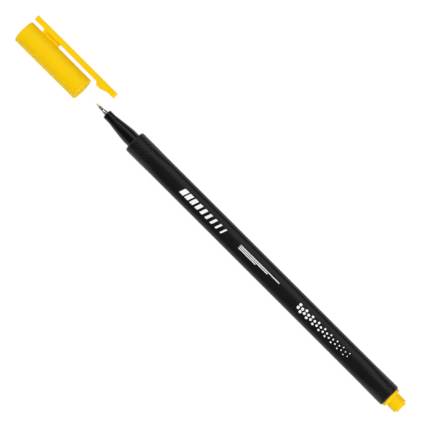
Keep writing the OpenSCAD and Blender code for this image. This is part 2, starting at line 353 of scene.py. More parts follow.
class Bench:
    """Places and wires the nodes of one shader tree."""

    def __init__(self, tree: Tree) -> None:
        """Takes the tree that is worked on."""
        self.tree = tree

    def add(self, kind: str, inputs: dict | None = None, **settings: object) -> Node:
        """Adds one node.

        Args:
            kind: Blender's name of the node type.
            inputs: Sockets by name or number, each with a value or a socket to link.
            **settings: Properties of the node.

        Returns:
            The new node.
        """
        node = self.tree.nodes.new(kind)
        for key, value in settings.items():
            setattr(node, key, value)
        for key, value in (inputs or {}).items():
            if isinstance(value, Socket):
                self.link(value, node, key)
            else:
                node.inputs[key].default_value = value
        return node

    def link(self, source: Socket, node: Node, key: str | int) -> None:
        """Leads a socket to a node's input."""
        self.tree.links.new(source, node.inputs[key])

    def math(self, operation: str, *values: object, clamp: bool = False) -> Socket:
        """Adds a Math node and gives its output."""
        inputs = dict(enumerate(values))
        return self.add("ShaderNodeMath", inputs, operation=operation, use_clamp=clamp).outputs[0]

    def noise(self, place: Socket, scale: float | Socket, detail: float) -> Socket:
        """Adds a Noise Texture and gives its value."""
        inputs = {"Vector": place, "Scale": scale, "Detail": detail}
        return self.add("ShaderNodeTexNoise", inputs).outputs[0]

    def ramp(self, value: Socket, low: float, high: float) -> Socket:
        """Adds a Map Range node that leads low to 0 and high to 1."""
        inputs = {"Value": value, "From Min": low, "From Max": high}
        return self.add("ShaderNodeMapRange", inputs).outputs[0]

    def mix(self, share: Socket, first: object, second: object) -> Socket:
        """Adds a Mix node for two colours and gives its output."""
        inputs = {"Factor": share, 6: first, 7: second}
        return self.add("ShaderNodeMix", inputs, data_type="RGBA").outputs[2]

    def place(self, stretch: Color = (1.0, 1.0, 1.0)) -> Socket:
        """Gives the place on the object in millimetres.

        Args:
            stretch: Factor on each axis, below 1 for a pattern drawn out along it.

        Returns:
            Vector socket.
        """
        where = self.add("ShaderNodeTexCoord").outputs["Object"]
        inputs = {0: where, 1: tuple(s / MM for s in stretch)}
        return self.add("ShaderNodeVectorMath", inputs, operation="MULTIPLY").outputs[0]


class SharedLayers:
    """Shader node groups that several finishes use, each built when first asked for."""

    USUAL = {
        Layer.GRAIN: {"Pebbles per mm": 4.0, "Depth mm": 0.004},
        Layer.PIGMENT: {
            "Color": (0.5, 0.5, 0.5, 1.0), "Deep color": (0.4, 0.4, 0.4, 1.0), "Streaks": 0.5
        },
        Layer.HANDLING: {"Roughness": 0.3, "Smudges": 0.05, "Rubs": 0.03},
        Layer.BUNDLE: {"Fibres per mm": 12.0, "Depth mm": 0.01},
    }

    def group(self, layer: Layer) -> Tree:
        """Gives the node group of an effect.

        Args:
            layer: The effect.

        Returns:
            Its node group, with a socket for each usual value and each thing it makes.
        """
        known = bpy.data.node_groups.get(layer.value)
        if known:
            return known
        tree = bpy.data.node_groups.new(layer.value, "ShaderNodeTree")
        face, bench = tree.interface, Bench(tree)
        for name, value in self.USUAL[layer].items():
            kind = "NodeSocketColor" if isinstance(value, tuple) else "NodeSocketFloat"
            socket = face.new_socket(name=name, in_out="INPUT", socket_type=kind)
            socket.default_value = value
        builders = {
            Layer.GRAIN: self.build_grain,
            Layer.PIGMENT: self.build_pigment,
            Layer.HANDLING: self.build_handling,
            Layer.BUNDLE: self.build_bundle,
        }
        made = builders[layer](bench, bench.add("NodeGroupInput").outputs)
        for name, value in made.items():
            kind = "NodeSocketColor" if value.type == "RGBA" else "NodeSocketFloat"
            face.new_socket(name=name, in_out="OUTPUT", socket_type=kind)
        bench.add("NodeGroupOutput", made)
        return tree

    def build_grain(self, bench: Bench, given: Sockets) -> dict[str, Socket]:
        """Fine pebbled grain that a spark-eroded mould leaves.

        Args:
            bench: The group's bench.
            given: The group's inputs.

        Returns:
            Height in millimetres.
        """
        pit_share = 0.35
        place, scale = bench.place(), given["Pebbles per mm"]
        pebbles = bench.noise(place, scale, detail=2.0)
        pits = bench.add("ShaderNodeTexVoronoi", {"Vector": place, "Scale": scale})
        depth = bench.math("MULTIPLY", pits.outputs["Distance"], pit_share)
        both = bench.math("ADD", pebbles, depth)
        return {"Height": bench.math("MULTIPLY", both, given["Depth mm"])}

    def build_pigment(self, bench: Bench, given: Sockets) -> dict[str, Socket]:
        """Colour that flowed with the plastic: long faint streaks and small specks.

        Args:
            bench: The group's bench.
            given: The group's inputs.

        Returns:
            The varying Color.
        """
        streak_share = 0.75
        streaks = bench.noise(bench.place(stretch=(0.12, 1.0, 1.0)), scale=0.5, detail=3.0)
        specks = bench.noise(bench.place(), scale=2.2, detail=2.0)
        wide = bench.math("MULTIPLY", streaks, streak_share)
        small = bench.math("MULTIPLY", specks, 1.0 - streak_share)
        spread = bench.ramp(bench.math("ADD", wide, small), low=0.36, high=0.66)
        share = bench.math("MULTIPLY", spread, given["Streaks"])
        return {"Color": bench.mix(share, given["Color"], given["Deep color"])}

    def build_handling(self, bench: Bench, given: Sockets) -> dict[str, Socket]:
        """Roughness with smudges of fingers and fine rubbed lines along the pen.

        Args:
            bench: The group's bench.
            given: The group's inputs.

        Returns:
            The varying Roughness.
        """
        mean = 0.5
        spots = bench.noise(bench.place(), scale=0.28, detail=2.0)
        lines = bench.noise(bench.place(stretch=(0.1, 1.0, 1.0)), scale=7.0, detail=3.0)
        smudges = bench.math("SUBTRACT", spots, mean)
        rubs = bench.ramp(lines, low=0.58, high=0.74)
        smudged = bench.math("MULTIPLY_ADD", smudges, given["Smudges"], given["Roughness"])
        return {"Roughness": bench.math("MULTIPLY_ADD", rubs, given["Rubs"], smudged, clamp=True)}

    def build_bundle(self, bench: Bench, given: Sockets) -> dict[str, Socket]:
        """Fine fibres that lie side by side along the pen.

        Args:
            bench: The group's bench.
            given: The group's inputs.

        Returns:
            Height in millimetres and the mask Fibres, 0 in the gaps.
        """
        place = bench.place(stretch=(0.06, 1.0, 1.0))
        lines = bench.noise(place, given["Fibres per mm"], detail=3.0)
        fibres = bench.ramp(lines, low=0.35, high=0.62)
        return {"Height": bench.math("MULTIPLY", fibres, given["Depth mm"]), "Fibres": fibres}


LAYERS = SharedLayers()


def blank_material(name: str) -> tuple[bpy.types.Material, Bench]:
    """Makes a material without nodes.

    Args:
        name: Its name.

    Returns:
        The material and the bench for its tree.
    """
    made = bpy.data.materials.new(name)
    made.use_nodes = True
    made.node_tree.nodes.clear()
    return made, Bench(made.node_tree)


@dataclass(frozen=True)
class Finish:
    """Finish of one surface: pigment in its colour and signs of handling in its gloss."""

    name: str
    color: Color
    deep: Color
    roughness: float = 0.3
    specular: float = 0.5
    streaks: float = 0.5
    smudges: float = 0.05
    rubs: float = 0.03

    def material(self) -> bpy.types.Material:
        """Gives the finish's material, built on its first use.

        Returns:
            The material.
        """
        known = bpy.data.materials.get(self.name)
        if known:
            return known
        made, bench = blank_material(self.name)
        made.diffuse_color = (*self.color, 1.0)
        shader = bench.add("ShaderNodeBsdfPrincipled", {"Specular IOR Level": self.specular})
        bench.add("ShaderNodeOutputMaterial", {"Surface": shader.outputs[0]})
        self.dress(bench, shader)
        return made

    def layer(self, bench: Bench, layer: Layer, inputs: dict) -> Node:
        """Places a shared effect in the material, with its values for this finish."""
        return bench.add("ShaderNodeGroup", inputs, node_tree=LAYERS.group(layer))

    def bump(self, bench: Bench, shader: Node, height: Socket) -> None:
        """Leads a height in millimetres to the shader's normal."""
        relief = bench.add("ShaderNodeBump", {"Height": height, "Distance": MM, "Strength": 1.0})
        bench.link(relief.outputs[0], shader, "Normal")

    def dress(self, bench: Bench, shader: Node) -> None:
        """Wires pigment to the colour and handling to the roughness.

        Args:
            bench: The material's bench.
            shader: The Principled BSDF.
        """
        flow = {"Color": (*self.color, 1.0), "Deep color": (*self.deep, 1.0)}
        flow["Streaks"] = self.streaks
        wear = {"Roughness": self.roughness, "Smudges": self.smudges, "Rubs": self.rubs}
        tint = self.layer(bench, Layer.PIGMENT, flow)
        touch = self.layer(bench, Layer.HANDLING, wear)
        bench.link(tint.outputs["Color"], shader, "Base Color")
        bench.link(touch.outputs["Roughness"], shader, "Roughness")


@dataclass(frozen=True)
class MouldedPlastic(Finish):
    """Injection-moulded plastic, with the grain of its mould."""

    smudges: float = 0.08
    rubs: float = 0.06
    pebbles: float = 4.0
    relief: float = 0.003

    def dress(self, bench: Bench, shader: Node) -> None:
        """Adds the grain to the normal.

        Args:
            bench: The material's bench.
            shader: The Principled BSDF.
        """
        super().dress(bench, shader)
        pebbled = {"Pebbles per mm": self.pebbles, "Depth mm": self.relief}
        grain = self.layer(bench, Layer.GRAIN, pebbled)
        self.bump(bench, shader, grain.outputs["Height"])


@dataclass(frozen=True)
class TurnedSteel(Finish):
    """Bright stainless steel with the fine rings that turning leaves."""

    rings_per_mm: float = 9.0
    ring_depth: float = 0.0005

    def dress(self, bench: Bench, shader: Node) -> None:
        """Makes the surface metal and adds the rings to the normal.

        Args:
            bench: The material's bench.
            shader: The Principled BSDF.
        """
        super().dress(bench, shader)
        shader.inputs["Metallic"].default_value = 1.0
        rings = bench.noise(bench.place(stretch=(1.0, 0.04, 0.04)), self.rings_per_mm, detail=4.0)
        self.bump(bench, shader, bench.math("MULTIPLY", rings, self.ring_depth))


@dataclass(frozen=True)
class InkedFibre(Finish):
    """Bonded fibres soaked with ink, darker in the gaps."""

    fibres_per_mm: float = 12.0
    relief: float = 0.02
    sheen: float = 0.15

    def dress(self, bench: Bench, shader: Node) -> None:
        """Wires the bundle's fibres to the colour, the roughness and the normal.

        Args:
            bench: The material's bench.
            shader: The Principled BSDF.
        """
        bundled = {"Fibres per mm": self.fibres_per_mm, "Depth mm": self.relief}
        bundle = self.layer(bench, Layer.BUNDLE, bundled)
        fibres = bundle.outputs["Fibres"]
        mixed = bench.mix(fibres, (*self.deep, 1.0), (*self.color, 1.0))
        rough = bench.math("MULTIPLY_ADD", fibres, -self.sheen, self.roughness)
        bench.link(mixed, shader, "Base Color")
        bench.link(rough, shader, "Roughness")
        self.bump(bench, shader, bundle.outputs["Height"])


SATIN_BLACK = MouldedPlastic(
    "satin_black", (0.0052, 0.0052, 0.0056), (0.0038, 0.0038, 0.0042),
    roughness=0.32, specular=0.24, pebbles=5.0,
)
POLISHED_BLACK = MouldedPlastic(
    "polished_black", (0.003, 0.003, 0.0034), (0.0022, 0.0022, 0.0026),
    roughness=0.12, specular=0.27, smudges=0.05, rubs=0.04, relief=0.0006,
)
SUN_YELLOW = MouldedPlastic(
    "sun_yellow", (0.95, 0.605, 0.0018), (0.93, 0.58, 0.0014),
    roughness=0.34, specular=0.1, streaks=0.4, relief=0.0015,
)
# Paler yellow for the faces inside the cap's bore: painted light that stands in for light coming
# through the thin wall.
BORE_PAINTED_LIGHT = MouldedPlastic(
    "yellow_painted_light", (0.99, 0.76, 0.036), (0.98, 0.73, 0.032),
    roughness=0.4, specular=0.1, streaks=0.4, relief=0.0015,
)
SEAL_YELLOW = MouldedPlastic(
    "seal_yellow", (0.86, 0.62, 0.12), (0.8, 0.54, 0.09),
    roughness=0.5, specular=0.4, relief=0.004,
)
WRAP_FILM = MouldedPlastic(
    "wrap_film", (0.8, 0.8, 0.78), (0.72, 0.72, 0.69),
    roughness=0.35, pebbles=1.5, relief=0.006,
)
BRIGHT_STEEL = TurnedSteel(
    "bright_steel", (0.34, 0.32, 0.31), (0.28, 0.265, 0.26), roughness=0.16
)
YELLOW_FIBRE = InkedFibre(
    "yellow_fibre", (0.86, 0.69, 0.14), (0.7, 0.5, 0.06), roughness=0.75, specular=0.1
)
YELLOW_FELT = InkedFibre(
    "yellow_felt", (0.8, 0.66, 0.2), (0.6, 0.44, 0.08),
    roughness=0.9, specular=0.2, fibres_per_mm=8.0,
)
PALE_FELT = InkedFibre(
    "pale_felt", (0.85, 0.72, 0.3), (0.66, 0.5, 0.14),
    roughness=0.9, specular=0.2, fibres_per_mm=5.0, relief=0.04,
)
WHITE_INK = Finish(
    "white_ink", (0.93, 0.93, 0.93), (0.84, 0.84, 0.85), roughness=0.45, specular=0.4
)


# Barrel


@dataclass(frozen=True)
class DotBand:
    """Band of low round dots, with every other row shifted by half a pitch."""

    first: float
    pitch: float
    count: int
    shifted_count: int
    odd_rows_lead: bool
    row_angle: float = 9.0
    dot_r: float = 0.33
    dot_h: float = 0.065
    dot_bend: float = 1.3

    def lift(self, station: float, angle: float, radius: float) -> float:
        """Height of the dots at a place on the barrel.

        Args:
            station: Place along the axis.
            angle: Direction round the axis.
            radius: Radius of the barrel there.

        Returns:
            Height over the barrel, zero between dots.
        """
        row = round(angle / self.row_angle)
        leads = (row % 2 == 1) == self.odd_rows_lead
        first = self.first if leads else self.first + self.pitch / 2.0
        count = self.count if leads else self.shifted_count
        number = min(max(round((station - first) / self.pitch), 0), count - 1)
        along = station - first - number * self.pitch
        across = math.radians(angle - row * self.row_angle) * radius
        share = (along * along + across * across) / self.dot_r**2
        return self.dot_h * (1.0 - share) ** self.dot_bend if share < 1.0 else 0.0


@dataclass
class Barrel:
    """Satin black barrel, round and dotted at its ends and softly triangular between."""

    front_r: float = 4.23
    rear_r: float = 4.27
    front_round: float = 8.5
    front_blend: float = 8.0
    rear_round: float = 4.5
    rear_blend: float = 9.5
    corner_r: float = 3.0
    corner_d: float = 1.36
    face_h: float = 3.93
    edge_r: float = 0.5
    spigot_bore_r: float = 2.57
    spigot_depth: float = 8.1
    bore_r: float = 3.0
    around: int = 320
    dot_step: float = 0.09
    blend_steps: int = 20
    middle_steps: int = 16
    front_margin: float = 1.18
    front_pitch: float = 1.45
    rear_margin: float = 1.12
    rear_pitch: float = 1.36

    def __post_init__(self) -> None:
        """Takes the stations from the frame and works out the faces' arcs."""
        self.front_x, self.rear_x = reach("barrel")
        gap = self.face_h - self.corner_r
        self.face_back = (self.corner_d**2 - gap**2) / (2.0 * gap - self.corner_d)
        self.face_r = self.face_h + self.face_back
        scale = self.corner_r / (self.face_r - self.corner_r)
        join_d = self.corner_d + (self.corner_d + self.face_back / 2.0) * scale
        join_h = self.face_back * math.sin(math.radians(SIXTH_TURN)) * scale
        self.join_angle = math.degrees(math.atan2(join_h, join_d))
        front = self.front_x + self.front_margin
        rear = self.rear_x - 2.0 * self.rear_pitch - self.rear_margin
        self.bands = (
            DotBand(front, self.front_pitch, count=5, shifted_count=5, odd_rows_lead=True),
            DotBand(rear, self.rear_pitch, count=3, shifted_count=2, odd_rows_lead=False),
        )

    def triangle_r(self, angle: float) -> float:
        """Radius of the triangular outline.

        Args:
            angle: Direction from the nearest corner, 0 to 60 degrees.

        Returns:
            Distance of the outline from the axis.
        """
        turn = math.radians(angle)
        if angle < self.join_angle:
            across = self.corner_d * math.sin(turn)
            return self.corner_d * math.cos(turn) + math.sqrt(self.corner_r**2 - across**2)
        from_face = math.radians(SIXTH_TURN - angle)
        across = self.face_back * math.sin(from_face)
        return math.sqrt(self.face_r**2 - across**2) - self.face_back * math.cos(from_face)

    def skin_r(self, station: float, angle: float) -> float:
        """Radius of the bare skin, without dots.

        Args:
            station: Place along the axis.
            angle: Direction round the axis.

        Returns:
            Distance of the skin from the axis.
        """
        from_front = (station - self.front_x - self.front_round) / self.front_blend
        from_rear = (self.rear_x - self.rear_round - station) / self.rear_blend
        blend = smooth(min(max(min(from_front, from_rear), 0.0), 1.0))
        middle = (self.front_x + self.rear_x) / 2.0
        round_r = self.front_r if station < middle else self.rear_r
        turn = (angle - CORNER_DIRECTION + SIXTH_TURN) % THIRD_TURN
        from_corner = abs(turn - SIXTH_TURN)
        return round_r * (1.0 - blend) + self.triangle_r(from_corner) * blend

    def outer(self, station: float, inset: float) -> Ring:
        """Ring of the outside, dots included.

        Args:
            station: Place along the axis.
            inset: Distance that the edge rounding draws the ring in.

        Returns:
            The ring.
        """
        ring = []
        for i in range(self.around):
            angle = WHOLE_TURN * i / self.around
            radius = self.skin_r(station, angle)
            lift = max(band.lift(station, angle, radius) for band in self.bands)
            ring.append(polar(station, radius - inset + lift, angle))
        return ring

    def stations(self) -> list[tuple[float, float]]:
        """Places of the outside's rings.

        Returns:
            Pairs of station and inset, close together where the dots are.
        """
        edge = rounding(self.edge_r, steps(0.0, QUARTER_TURN, 6))
        dots_end = self.front_x + self.front_round
        dots_start = self.rear_x - self.rear_round
        spans = (
            (dots_end, round((self.front_round - self.edge_r) / self.dot_step)),
            (dots_end + self.front_blend, self.blend_steps),
            (dots_start - self.rear_blend, self.middle_steps),
            (dots_start, self.blend_steps),
            (self.rear_x - self.edge_r, round((self.rear_round - self.edge_r) / self.dot_step)),
        )
        plain = chain(self.front_x + self.edge_r, spans)[:-1]
        front = [(self.front_x + x, inset) for x, inset in edge]
        rear = [(self.rear_x - x, inset) for x, inset in reversed(edge)]
        return front + [(x, 0.0) for x in plain] + rear

    def build(self) -> None:
        """Makes the barrel as one closed skin, its bores included."""
        step_x = self.front_x + self.spigot_depth
        bores = [
            (self.rear_x, self.bore_r),
            (step_x, self.bore_r),
            (step_x, self.spigot_bore_r),
            (self.front_x, self.spigot_bore_r),
        ]
        skin = [self.outer(*place) for place in self.stations()]
        draft = Draft()
        draft.loft(skin + turned(bores, self.around), looped=True)
        self.dress(draft)

    def dress(self, draft: Draft) -> None:
        """Gives the barrel its finish and body.

        Args:
            draft: The finished mesh.
        """
        made = draft.piece("barrel_moulding", SATIN_BLACK, Slot.BARREL)
        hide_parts("barrel")
        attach(made, Body.BARREL.value)


@dataclass
class BarrelPrint:
    """Plain white marks on the barrel's face: slanted bars, fine lines and dots."""

    barrel: Barrel
    lift: float = 0.012
    depth: float = 0.05
    bars_x: float = 43.0
    bar_count: int = 9
    bar_w: float = 1.9
    bar_pitch: float = 2.5
    bar_shrink: float = 0.16
    bar_half: float = 1.25
    bar_steps: int = 8
    slant: float = 0.9
    lines_x: float = 71.5
    line_len: float = 19.0
    line_w: float = 0.32
    lines: tuple[tuple[float, float], ...] = ((0.45, 1.0), (-0.15, 0.72), (-0.75, 0.44))
    field_x: float = 101.0
    field_columns: int = 17
    field_pitch: float = 1.5
    even_sides: tuple[float, float] = (-0.35, 0.95)
    odd_sides: tuple[float, float] = (-1.0, 0.3)
    dot_r: float = 0.56
    dot_shrink: float = 0.022
    dot_half_steps: int = 3
    middle: float = -0.25

    def on_face(self, station: float, side: float) -> Vector:
        """Point just over the printed face.

        Args:
            station: Place along the axis.
            side: Place across the face, towards the clip.

        Returns:
            The point in the frame.
        """
        radius = self.barrel.skin_r(station, PRINT_DIRECTION)
        angle = PRINT_DIRECTION - math.degrees(math.atan2(side, radius))
        return polar(station, self.barrel.skin_r(station, angle) + self.lift, angle)

    def bar(
        self, draft: Draft, start: float, width: float, low: float, high: float, slant: float = 0.0
    ) -> None:
        """Adds one bar with straight edges.

        Args:
            draft: Mesh that gets the bar.
            start: Station of its front edge, at the low side.
            width: Width along the pen.
            low: Its side away from the clip.
            high: Its side towards the clip.
            slant: Shift of the high side along the pen.
        """
        across = steps(low, high, self.bar_steps)
        share = [(s - low) / (high - low) for s in across]
        rows = [
            [self.on_face(x + slant * k, s) for s, k in zip(across, share)]
            for x in (start, start + width)
        ]
        draft.slab(rows, polar(0.0, -self.depth, PRINT_DIRECTION))

    def dot(self, draft: Draft, station: float, side: float, radius: float) -> None:
        """Adds one round dot as a slab of a squared-off grid.

        Args:
            draft: Mesh that gets the dot.
            station: Place of its centre along the pen.
            side: Place of its centre across the face.
            radius: Its radius.
        """
        half = self.dot_half_steps
        places = [i / half - 1.0 for i in range(2 * half + 1)]
        grid = []
        for a in places:
            row = []
            for b in places:
                x = a * math.sqrt(1.0 - b * b / 2.0)
                y = b * math.sqrt(1.0 - a * a / 2.0)
                row.append(self.on_face(station + x * radius, side + y * radius))
            grid.append(row)
        draft.slab(grid, polar(0.0, -self.depth, PRINT_DIRECTION))

    def build(self) -> None:
        """Makes all marks as one thin piece."""
        draft = Draft()
        low, high = self.middle - self.bar_half, self.middle + self.bar_half
        for i in range(self.bar_count):
            width = self.bar_w - i * self.bar_shrink
            self.bar(draft, self.bars_x + i * self.bar_pitch, width, low, high, self.slant)
        for side, share in self.lines:
            self.bar(draft, self.lines_x, self.line_len * share, side, side + self.line_w)
        for i in range(self.field_columns):
            radius = self.dot_r - self.dot_shrink * i
            for side in self.odd_sides if i % 2 else self.even_sides:
                self.dot(draft, self.field_x + i * self.field_pitch, self.middle + side, radius)
        made = draft.piece("barrel_print", WHITE_INK, Slot.BARREL)
        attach(made, Body.BARREL.value)


# Writing end


@dataclass
class WritingEnd:
    """Polished nose with its steel ferrule and the fibre tip."""

    tip_r: float = 1.775
    tip_len: float = 2.2
    edge_r: float = 0.15
    swell_len: float = 8.85
    swell_bend: float = 1.2
    swell_ease: float = 0.08
    swell_steps: int = 36
    base_r: float = 2.775
    seam: float = 0.06
    seam_len: float = 0.1
    seam_flat: float = 0.03
    spigot_r: float = 2.55
    wick_bore_r: float = 0.87
    tube_r: float = 0.47
    neck_r: float = 0.57
    tube_len: float = 1.9
    shank_r: float = 0.98
    shank_gap: float = 0.02
    bend_len: float = 0.5
    lip_r: float = 0.06
    fibre_r: float = 0.34
    fibre_gap: float = 0.01
    dome: float = 0.18
    flutes: int = 14
    flute_depth: float = 0.012
    around: int = 128

    def nose_outline(self) -> Outline:
        """Outline of the nose, its spigot and its bores.

        Returns:
            Points as (station, radius), round one closed loop.
        """
        front, rear = reach("nose_section")
        seat = reach("barrel")[0]
        shank_end = reach("nib_ferrule")[1]
        swell_x = front + self.tip_len
        swell = []
        whole = math.hypot(1.0, self.swell_ease) - self.swell_ease
        for share in steps(0.0, 1.0, self.swell_steps):
            eased = (math.hypot(share, self.swell_ease) - self.swell_ease) / whole
            radius = self.base_r - (self.base_r - self.tip_r) * (1.0 - eased) ** self.swell_bend
            swell.append((swell_x + self.swell_len * share, radius))
        return [
            (front, self.shank_r + self.shank_gap),
            *arc(front + self.edge_r, self.tip_r - self.edge_r, self.edge_r, 180.0, 90.0),
            *swell,
            (seat - self.seam_len, self.base_r),
            (seat - self.seam_flat, self.base_r - self.seam),
            (seat, self.base_r - self.seam),
            (seat, self.spigot_r),
            (rear, self.spigot_r),
            (rear, self.wick_bore_r),
            (shank_end, self.wick_bore_r),
            (shank_end, self.shank_r + self.shank_gap),
        ]

    def ferrule_outline(self) -> Outline:
        """Outline of the ferrule, from its rolled lip to the end of its shank.

        Returns:
            Points as (station, radius), round one closed loop.
        """
        front, rear = reach("nib_ferrule")
        cone_x = front + self.tube_len
        nose_x = reach("nose_section")[0]
        rise = (self.shank_r - self.neck_r) / (nose_x - cone_x)
        bend = []
        for share in steps(0.0, 1.0, 6):
            station = cone_x + self.bend_len * (share - 0.5)
            bend.append((station, self.neck_r + rise * self.bend_len * share * share / 2.0))
        return [
            (front + self.lip_r, self.fibre_r + self.fibre_gap),
            *arc(front + self.lip_r, self.tube_r - self.lip_r, self.lip_r, 180.0, 90.0, 5),
            *bend,
            (nose_x, self.shank_r),
            (nose_x + self.lip_r, self.shank_r),
            (rear, self.shank_r),
            (rear, self.fibre_r + self.fibre_gap),
        ]

    def fibre_outline(self) -> Outline:
        """Outline of the fibre tip with its rounded end.

        Returns:
            Points as (station, radius), closed at both ends.
        """
        front, rear = reach("nib_fibre")
        turns = [math.radians(a) for a in steps(0.0, QUARTER_TURN, 8)]
        drop = self.dome
        dome = [(front + drop * (1.0 - math.cos(t)), self.fibre_r * math.sin(t)) for t in turns]
        return [*dome, (reach("nib_ferrule")[0], self.fibre_r), (rear, self.fibre_r), (rear, 0.0)]

    def fluted(self, station: float, radius: float, angle: float) -> float:
        """Radius of the fibre tip with its lengthwise flutes.

        Args:
            station: Place along the axis.
            radius: Radius without flutes.
            angle: Direction round the axis.

        Returns:
            Radius with flutes, which fade out towards the point.
        """
        wave = math.cos(math.radians(angle * self.flutes)) - 1.0
        return radius + wave * self.flute_depth * min(1.0, radius / self.fibre_r)

    def build(self) -> None:
        """Makes nose, ferrule and fibre tip."""
        nose, ferrule, fibre = self.nose_outline(), self.ferrule_outline(), self.fibre_outline()
        parts = (
            ("nose_moulding", nose, None, POLISHED_BLACK, Slot.NOSE, "nose_section"),
            ("ferrule", ferrule, None, BRIGHT_STEEL, Slot.FERRULE, "nib_ferrule"),
            ("fibre_tip", fibre, self.fluted, YELLOW_FIBRE, Slot.FIBRE, "nib_fibre"),
        )
        for name, outline, shape, finish, slot, node in parts:
            draft = Draft()
            hollow = outline is not fibre
            draft.loft(turned(outline, self.around, shape), looped=hollow)
            piece = draft.piece(name, finish, slot)
            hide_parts(node)
            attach(piece, Body.BARREL.value)


# Rear plug


@dataclass
class RearPlug:
    """Yellow plug that closes the barrel, with a flange, a post and an end disc."""

    flange_r: float = 3.8
    flange_t: float = 1.05
    post_r: float = 2.86
    post_len: float = 4.05
    edge_r: float = 0.32
    foot_r: float = 0.2
    disc_r: float = 2.15
    disc_edge_r: float = 0.16
    gate_r: float = 0.55
    gate_depth: float = 0.14
    gate_floor: float = 0.6
    gate_bend: tuple[float, float] = (0.4, 0.85)
    seat_edge_r: float = 0.1
    spigot_r: float = 2.98
    core_r: float = 1.8
    end_t: float = 1.2
    around: int = 128

    def outline(self) -> Outline:
        """Outline of the plug, from the middle of its end disc to its hollow's floor.

        Returns:
            Points as (station, radius), closed at both ends.
        """
        front, end = reach("rear_plug")
        seat = reach("barrel")[1]
        post_x = seat + self.flange_t
        disc_x = post_x + self.post_len
        seat_edge, disc_edge = self.seat_edge_r, self.disc_edge_r
        deep, wide = self.gate_bend
        return [
            (end - self.gate_depth, 0.0),
            (end - self.gate_depth, self.gate_r * self.gate_floor),
            (end - self.gate_depth * deep, self.gate_r * wide),
            (end, self.gate_r),
            *arc(end - disc_edge, self.disc_r - disc_edge, disc_edge, 0.0, 90.0),
            (disc_x, self.disc_r),
            *arc(disc_x - self.edge_r, self.post_r - self.edge_r, self.edge_r, 0.0, 90.0),
            *arc(post_x + self.foot_r, self.post_r + self.foot_r, self.foot_r, 270.0, 180.0),
            *arc(post_x - self.edge_r, self.flange_r - self.edge_r, self.edge_r, 0.0, 90.0),
            *arc(seat + seat_edge, self.flange_r - seat_edge, seat_edge, 90.0, 180.0, 3),
            (seat, self.spigot_r),
            (front, self.spigot_r),
            (front, self.core_r),
            (disc_x - self.end_t, self.core_r),
            (disc_x - self.end_t, 0.0),
        ]

    def build(self) -> None:
        """Makes the plug."""
        draft = Draft()
        draft.loft(turned(self.outline(), self.around))
        made = draft.piece("rear_plug_moulding", SUN_YELLOW, Slot.PLUG)
        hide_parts("rear_plug")
        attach(made, Body.BARREL.value)


# Cap


